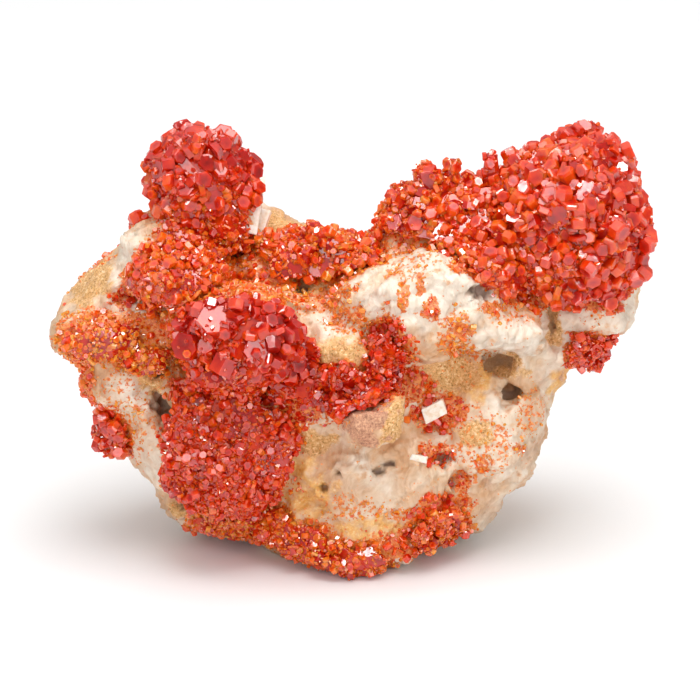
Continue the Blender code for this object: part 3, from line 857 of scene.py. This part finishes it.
        # The cleanest barite is near white.
        whiteness = add_node(
            tree, "ShaderNodeMath", {"operation": "MULTIPLY"}, {0: attribute["white"], 1: 0.8}
        ).outputs[0]
        cloud_tone = add_node(
            tree,
            "ShaderNodeMix",
            {"data_type": "RGBA"},
            {0: whiteness, 6: cloud_tone, 7: linear("#EADFD0")},
        ).outputs[2]
        barite = add_node(
            tree,
            "ShaderNodeMix",
            {"data_type": "RGBA", "blend_type": "MULTIPLY"},
            {0: 0.5, 6: cloud_tone, 7: fibre_tone},
        ).outputs[2]
        earth = (
            (0.32, linear("#8A5C30")),
            (0.41, linear("#C79452")),
            (0.54, tuple(look.limonite)),
            (0.68, linear("#F3D9AE")),
        )
        pink = ((0.3, linear("#8E5B43")), (0.5, linear("#C58C6C")), (0.7, linear("#E2B58F")))
        yellow = ((0.3, linear("#D8902F")), (0.55, linear("#E8B260")), (0.75, linear("#F0D5A4")))
        orange = ((0.3, linear("#C2400E")), (0.5, linear("#E27420")), (0.7, linear("#F2AE5A")))
        # The layers over the barite: what shows each, where that starts and ends, the most it
        # covers, and its colour. Iron has seeped in in places and left the barite peach.
        layers = [(mottle, 0.54, 0.74, 0.4, linear("#DDA36C"))]
        # Each stain's edge is ragged with the grains, and wanders with the mottling or the specks.
        ragged, wander, speckled = (
            add_node(
                tree,
                "ShaderNodeMath",
                {"operation": "MULTIPLY_ADD"},
                {0: pattern, 1: swing, 2: -swing / 2},
            ).outputs[0]
            for pattern, swing in ((grains, 0.7), (mottle, 2.2), (specks, 2.4))
        )
        for name, stops, drifts, low, high in (
            ("yellow", yellow, wander, 0.35, 1.1),
            ("ochre", earth, wander, 0.25, 0.6),
            ("nodule", pink, wander, 0.3, 0.6),
            ("cover", orange, speckled, 0.42, 0.62),
        ):
            tone = add_node(tree, "ShaderNodeValToRGB", links={0: grains}, stops=stops).outputs[0]
            edge = attribute[name]
            for more in (ragged, drifts):
                edge = add_node(
                    tree, "ShaderNodeMath", {"operation": "ADD"}, {0: edge, 1: more}
                ).outputs[0]
            layers.append((edge, low, high, 1, tone))
        # A pit's inside runs from tan earth to deep brown, and the deep end is painted shade in the
        # hollow.
        inside = add_node(
            tree,
            "ShaderNodeMix",
            {"data_type": "RGBA"},
            {0: attribute["painted_pit_shade"], 6: linear("#C49E78"), 7: linear("#5A3014")},
        ).outputs[2]
        layers.append((attribute["pit"], 0.3, 1, 0.8, inside))
        colour = barite
        for value, low, high, most, tone in layers:
            share = add_node(
                tree,
                "ShaderNodeMapRange",
                links={"Value": value, "From Min": low, "From Max": high, "To Max": most},
            ).outputs[0]
            colour = add_node(
                tree, "ShaderNodeMix", {"data_type": "RGBA"}, {0: share, 6: colour, 7: tone}
            ).outputs[2]
        dull = add_node(
            tree,
            "ShaderNodeMath",
            {"operation": "MAXIMUM"},
            {0: attribute["ochre"], 1: attribute["nodule"]},
        ).outputs[0]
        rough = add_node(
            tree, "ShaderNodeMapRange", links={"Value": dull, "To Min": 0.42, "To Max": 0.92}
        ).outputs[0]
        # The plates' heights are already in metres.
        bump = None
        for height, strength, distance in (
            (grains, 0.5, 0.18 * MM),
            (plane, 0.5, 1.0),
            (fibres, 0.6, 0.25 * MM),
        ):
            below = {"Normal": bump} if bump else {}
            bump = add_node(
                tree,
                "ShaderNodeBump",
                links={"Height": height, "Strength": strength, "Distance": distance, **below},
            ).outputs[0]
        shader = add_node(
            tree,
            "ShaderNodeBsdfPrincipled",
            links={
                "Base Color": colour,
                "Roughness": rough,
                "Normal": bump,
                "IOR": BARITE_IOR,
                "Subsurface Weight": 0.15,
                "Subsurface Radius": (0.9, 0.7, 0.5),
                "Subsurface Scale": 1.0 * MM,
            },
        )
        tree.links.new(shader.outputs[0], out.inputs[0])
        return made


class SPECIMEN_OT_blades(bpy.types.Operator):
    """Set the single barite blades and chips into the stone"""

    bl_idname = "specimen.blades"
    bl_label = "Barite blades"

    def execute(self, context):
        stone = bmesh.new()
        stone.from_mesh(bpy.data.objects["fine_stone"].data)
        tree = BVHTree.FromBMesh(stone)
        rng = random.Random(11)
        blades = bmesh.new()
        for across, up, long, wide, thick, turn, tip, out in BLADES:
            point = seen_at(tree, across, up)
            made = bmesh.ops.create_cube(blades, size=1)["verts"]
            # A blade is a sheared block.
            place = (
                Matrix.Translation(point - VIEW_ALONG * out * MM)
                @ Matrix.Rotation(-VIEW_TILT, 4, "X")
                @ Matrix.Rotation(math.radians(-turn), 4, "Y")
                @ Matrix.Rotation(math.radians(tip), 4, "X")
                @ Matrix.Shear("XZ", 4, (math.tan(BLADE_LEAN), 0))
                @ Matrix.Diagonal((long * MM, thick * MM, wide * MM, 1))
            )
            for vert in made:
                shift = Vector([rng.uniform(-0.08, 0.08) for _ in range(3)])
                vert.co = place @ (vert.co + shift)
        bevel(blades, blades.edges[:], 0.14 * MM, 2)
        mesh = bpy.data.meshes.new("barite_blades")
        blades.to_mesh(mesh)
        blades.free()
        stone.free()
        new_piece("barite_blades", mesh, self.finish())
        return {"FINISHED"}

    def finish(self):
        """Barite grown as clear white blades: pearly on its cleavage, faintly striped by growth."""
        made, tree, out = new_material("barite_cleavage")
        place = add_node(tree, "ShaderNodeTexCoord").outputs["Object"]
        # Growth stripes about 0.7 mm apart.
        stripes = add_node(
            tree, "ShaderNodeTexNoise", links={"Vector": place, "Scale": 1400, "Detail": 3}
        ).outputs["Fac"]
        colour = add_node(
            tree,
            "ShaderNodeValToRGB",
            links={0: stripes},
            stops=((0.3, linear("#E3C8A8")), (0.5, linear("#F0E4D4")), (0.7, linear("#F7F0E7"))),
        ).outputs[0]
        bump = add_node(
            tree,
            "ShaderNodeBump",
            links={"Height": stripes, "Strength": 0.4, "Distance": 0.12 * MM},
        ).outputs[0]
        shader = add_node(
            tree,
            "ShaderNodeBsdfPrincipled",
            links={
                "Base Color": colour,
                "Roughness": 0.35,
                "IOR": BARITE_IOR,
                "Normal": bump,
                "Subsurface Weight": 0.3,
                "Subsurface Radius": (1.0, 0.85, 0.7),
                "Subsurface Scale": 1.0 * MM,
            },
        )
        tree.links.new(shader.outputs[0], out.inputs[0])
        return made


def vanadinite(name, look, tint_source):
    """Vanadinite, grown from hot water in clefts: resinous, near adamantine, red to orange.

    tint_source is the name of the crystals' tint attribute, or empty for a crystal solid, whose
    tint then comes from slow noise."""
    made, tree, out = new_material(name)
    place = add_node(tree, "ShaderNodeTexCoord").outputs["Object"]
    # Growth zones and flaws about 1 mm apart.
    zones = add_node(
        tree, "ShaderNodeTexNoise", links={"Vector": place, "Scale": 900, "Detail": 3}
    ).outputs["Fac"]
    if tint_source:
        tint = add_node(tree, "ShaderNodeAttribute", {"attribute_name": tint_source}).outputs["Fac"]
    else:
        cells = add_node(
            tree, "ShaderNodeTexNoise", links={"Vector": place, "Scale": 260, "Detail": 1}
        ).outputs["Fac"]
        tint = add_node(
            tree,
            "ShaderNodeMapRange",
            links={"Value": cells, "From Min": 0.3, "From Max": 0.7, "To Min": 0.1, "To Max": 0.55},
        ).outputs[0]
    mixed = add_node(
        tree, "ShaderNodeMath", {"operation": "MULTIPLY_ADD"}, {0: zones, 1: 0.5, 2: tint}
    ).outputs[0]
    level = add_node(
        tree, "ShaderNodeMath", {"operation": "SUBTRACT"}, {0: mixed, 1: 0.25}
    ).outputs[0]
    colour = add_node(
        tree,
        "ShaderNodeValToRGB",
        links={0: level},
        stops=(
            (0.0, tuple(look.deep)),
            (0.28, linear("#BC1604")),
            (0.52, linear("#DB3A07")),
            (0.78, linear("#EA6A14")),
            (1.0, tuple(look.bright)),
        ),
    ).outputs[0]
    steps = add_node(
        tree,
        "ShaderNodeBump",
        links={"Height": zones, "Strength": 0.25, "Distance": 0.08 * MM},
    ).outputs[0]
    shader = add_node(
        tree,
        "ShaderNodeBsdfPrincipled",
        links={
            "Base Color": colour,
            "Roughness": 0.13,
            "IOR": VANADINITE_IOR,
            "Normal": steps,
            "Subsurface Weight": 0.5,
            "Subsurface Radius": (1.0, 0.25, 0.08),
            "Subsurface Scale": 1.5 * MM,
        },
    )
    tree.links.new(shader.outputs[0], out.inputs[0])
    return made


class SPECIMEN_OT_crystal_finish(bpy.types.Operator):
    """Give the crystal solids their resinous red"""

    bl_idname = "specimen.crystal_finish"
    bl_label = "Crystal finish"

    def execute(self, context):
        made = vanadinite("vanadinite_as_grown", context.scene.crystal_look, "")
        for name in CLUSTER_DRUSE:
            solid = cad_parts[name]
            solid.material_slots[0].material = made
            solid.modifiers.new("joined", "WELD").merge_threshold = 0.001 * MM
            rims = solid.modifiers.new("rims", "BEVEL")
            rims.width = 0.12 * MM
            rims.segments = 1
            rims.limit_method = "ANGLE"
            rims.angle_limit = math.radians(40)
        return {"FINISHED"}


class SPECIMEN_OT_druse(bpy.types.Operator):
    """Grow the small hexagonal crystals over the clusters and the stone"""

    bl_idname = "specimen.druse"
    bl_label = "Druse"

    def execute(self, context):
        look = context.scene.crystal_look
        made = vanadinite("vanadinite_druse_as_grown", look, "tint")
        stone = bpy.data.objects["fine_stone"].data
        fine = bmesh.new()
        fine.from_mesh(stone)
        bmesh.ops.triangulate(fine, faces=fine.faces[:])
        tree = BVHTree.FromBMesh(fine)
        for number, (name, own) in enumerate(CLUSTER_DRUSE.items()):
            rng = random.Random(look.seed * 100 + number)
            small, large, thick, lean, tint = own
            cluster = merged(name)
            spots = []
            for face in cluster.faces:
                # A large crystal's end faces stay clean, and the crust round it doesn't.
                plain = min(edge.calc_face_angle(9) for edge in face.edges) < math.radians(0.6)
                share = 0.12 if large > 1.4 else 0.5
                spots.append((face, face.calc_area() * (share if plain else 1)))
            grade = GRADES.get(name)

            def sort_at(face):
                full = self.size_at(face, grade) if grade else 1
                return small * full ** 0.5, large * full, tint + (1 - full) * 0.4, lean, thick

            sites = self.sites(rng, spots, TRIED_ON_CLUSTERS, sort_at)
            sites = [s for s in sites if not self.buried(tree, s)]
            self.grow(rng, name.replace("crystals", "druse"), sites, look.spacing, made)
            cluster.free()
        cover, grain, tints = (
            [item.value for item in stone.attributes[name].data]
            for name in ("cover", "grain", "tint")
        )
        spots = []
        for face in fine.faces:
            share = sum(cover[v.index] for v in face.verts) / 3
            if share > 0.16:
                spots.append((face, face.calc_area() * (share - 0.12)))
        rng = random.Random(look.seed * 100 + 99)

        def sort_at(face):
            i = face.verts[0].index
            full = 0.6 + 0.4 * cover[i]
            tint = tints[i] * 0.8 + (1 - cover[i]) * 0.25
            return grain[i] * 0.5 * full, grain[i] * 2.1 * full, tint, 1.0, 1.25

        sites = self.sites(rng, spots, TRIED_ON_STONE, sort_at)
        parts = {"back": [], "left": [], "middle": [], "right": []}
        for site in sites:
            place = site[0]
            side = "left" if place.x < -0.022 else "middle" if place.x < 0.002 else "right"
            parts["back" if place.y > 0.006 else side].append(site)
        for side, own in parts.items():
            self.grow(rng, "stone_druse_" + side, own, look.stone_spacing, made)
        fine.free()
        return {"FINISHED"}

    def size_at(self, face, grade):
        """The share of their full size that crystals reach on a face."""
        right, high, start, end, least = grade
        across, up = (n[0] for n in seen_from_front(np.array([face.calc_center_median()[:]])))
        grown = (across * right + up * high - start) / (end - start)
        return least + (1 - least) * min(1, max(0, grown))

    def sites(self, rng, spots, per_mm2, sort_at):
        """Random places on faces: point, normal, radius in m, thickness, lean and tint.

        Most crystals are near the smallest radius, and few are near the largest."""
        total = sum(weight for _, weight in spots)
        count = int(total * 1e6 * per_mm2)
        faces = rng.choices([s[0] for s in spots], [s[1] for s in spots], k=count)
        found = []
        for face in faces:
            a, b, c = (v.co for v in face.verts)
            s, t = rng.random(), rng.random()
            if s + t > 1:
                s, t = 1 - s, 1 - t
            small, large, tint, lean, thick = sort_at(face)
            radius = (small + (large - small) * rng.random() ** 6) * MM
            point = a + (b - a) * s + (c - a) * t
            found.append((point, face.normal.copy(), radius, thick, lean, tint))
        return found

    def buried(self, tree, site):
        """Whether the stone closes over a place."""
        point, normal = site[:2]
        return tree.ray_cast(point + normal * 0.02 * MM, normal, 1.0 * MM)[0] is not None

    def grow(self, rng, name, sites, spacing, made):
        """Makes one piece of all the crystals that fit, the largest first."""
        low, high = cad_box
        # Crystals in one cell or in the next can touch.
        cell = 2.2 * MM
        taken = {}
        forms = self.forms()
        scratch = bpy.data.meshes.new("scratch")
        crust = bmesh.new()
        tints = []
        for point, normal, radius, thick, lean, tint in sorted(sites, key=lambda s: -s[2]):
            key = tuple(int(n // cell) for n in point)
            near = (
                other
                for dx in (-1, 0, 1)
                for dy in (-1, 0, 1)
                for dz in (-1, 0, 1)
                for other in taken.get((key[0] + dx, key[1] + dy, key[2] + dz), ())
            )
            if any((point - p).length < (radius + r) * spacing for p, r in near):
                continue
            height = radius * thick * rng.uniform(0.5, 1.7)
            # Some of the smallest are thin prisms.
            if radius < 0.5 * MM and rng.random() < 0.22:
                radius *= 0.6
                height = radius * rng.uniform(3, 6)
            reach = math.hypot(radius, height / 2)
            # A large crystal stands on the crust, and a small one is sunk in it.
            lift = (rng.uniform(0, 0.5) if radius > 0.8 * MM else rng.uniform(-0.12, 0.32)) * height
            middle = point + normal * lift
            if any(not low[i] + reach < middle[i] < high[i] - reach for i in range(3)):
                continue
            taken.setdefault(key, []).append((point, radius))
            way = Vector([rng.gauss(0, 1) for _ in range(3)]).normalized()
            axis = (normal + way * lean * rng.uniform(0.3, 1.9)).normalized()
            form, rim_glow = forms[(radius > 0.55 * MM) + (rng.random() < 0.25)]
            turn = axis.to_track_quat("Z", "Y").to_matrix() @ Matrix.Rotation(
                rng.uniform(0, math.pi / 3), 3, "Z"
            )
            one = form.copy()
            one.transform(
                Matrix.Translation(middle)
                @ turn.to_4x4()
                @ Matrix.Diagonal((radius * rng.uniform(0.72, 1.2), radius, height, 1))
            )
            one.to_mesh(scratch)
            crust.from_mesh(scratch)
            own = rng.gauss(tint, 0.085)
            # Each point's tint takes the painted rim glow.
            tints += [min(1, max(0, own + shade)) for shade in rim_glow]
            one.free()
        mesh = bpy.data.meshes.new(name)
        crust.to_mesh(mesh)
        crust.free()
        layer = mesh.attributes.new("tint", "FLOAT", "POINT")
        layer.data.foreach_set("value", tints)
        new_piece(name, mesh, made)

    def forms(self):
        """Unit crystals: a plain tablet, one with a cut rim, and a tapered prism.

        Each comes with how much lighter each of its points is: a crystal is painted orange towards
        its rim, a painted glow of light through the thin edge, and deep red in the middle of its
        end faces."""
        made = []
        for top, rim in ((1, 0), (1, 0.16), (0.72, 0)):
            form = bmesh.new()
            bmesh.ops.create_cone(form, cap_ends=True, segments=6, radius1=1, radius2=top, depth=1)
            if rim:
                edges = [e for e in form.edges if abs(e.verts[0].co.z - e.verts[1].co.z) < 0.1]
                bevel(form, edges, rim, 1)
            ends = [face for face in form.faces if abs(face.normal.z) > 0.99]
            bmesh.ops.poke(form, faces=ends)
            bmesh.ops.triangulate(form, faces=form.faces[:])
            # Painted glow: points nearer the rim are lighter, standing in for light shining through
            # the thin edge.
            rim_glow = [0.34 * v.co.xy.length - 0.20 for v in form.verts]
            made.append((form, rim_glow))
        return made


class SPECIMEN_PT_panel(bpy.types.Panel):
    """The specimen's settings and steps"""

    bl_idname = "SPECIMEN_PT_panel"
    bl_label = "Specimen"
    bl_space_type = "VIEW_3D"
    bl_region_type = "UI"
    bl_category = "Specimen"

    def draw(self, context):
        for name in ("stage_look", "stone_look", "crystal_look"):
            group = getattr(context.scene, name)
            for key in group.__annotations__:
                self.layout.prop(group, key)
        for step in STEPS:
            self.layout.operator(step.bl_idname)


STEPS = (
    SPECIMEN_OT_stage,
    SPECIMEN_OT_stone,
    SPECIMEN_OT_blades,
    SPECIMEN_OT_crystal_finish,
    SPECIMEN_OT_druse,
)
GROUPS = {"stage_look": StageLook, "stone_look": StoneLook, "crystal_look": CrystalLook}


def register():
    for group in GROUPS.values():
        bpy.utils.register_class(group)
    for step in STEPS + (SPECIMEN_PT_panel,):
        bpy.utils.register_class(step)
    for name, group in GROUPS.items():
        setattr(bpy.types.Scene, name, PointerProperty(type=group))


def unregister():
    for name in GROUPS:
        delattr(bpy.types.Scene, name)
    for step in STEPS + (SPECIMEN_PT_panel,):
        bpy.utils.unregister_class(step)
    for group in GROUPS.values():
        bpy.utils.unregister_class(group)


def main():
    register()
    bpy.ops.specimen.stage()
    bpy.ops.specimen.stone()
    bpy.ops.specimen.blades()
    bpy.ops.specimen.crystal_finish()
    bpy.ops.specimen.druse()


if __name__ == "__main__":
    main()
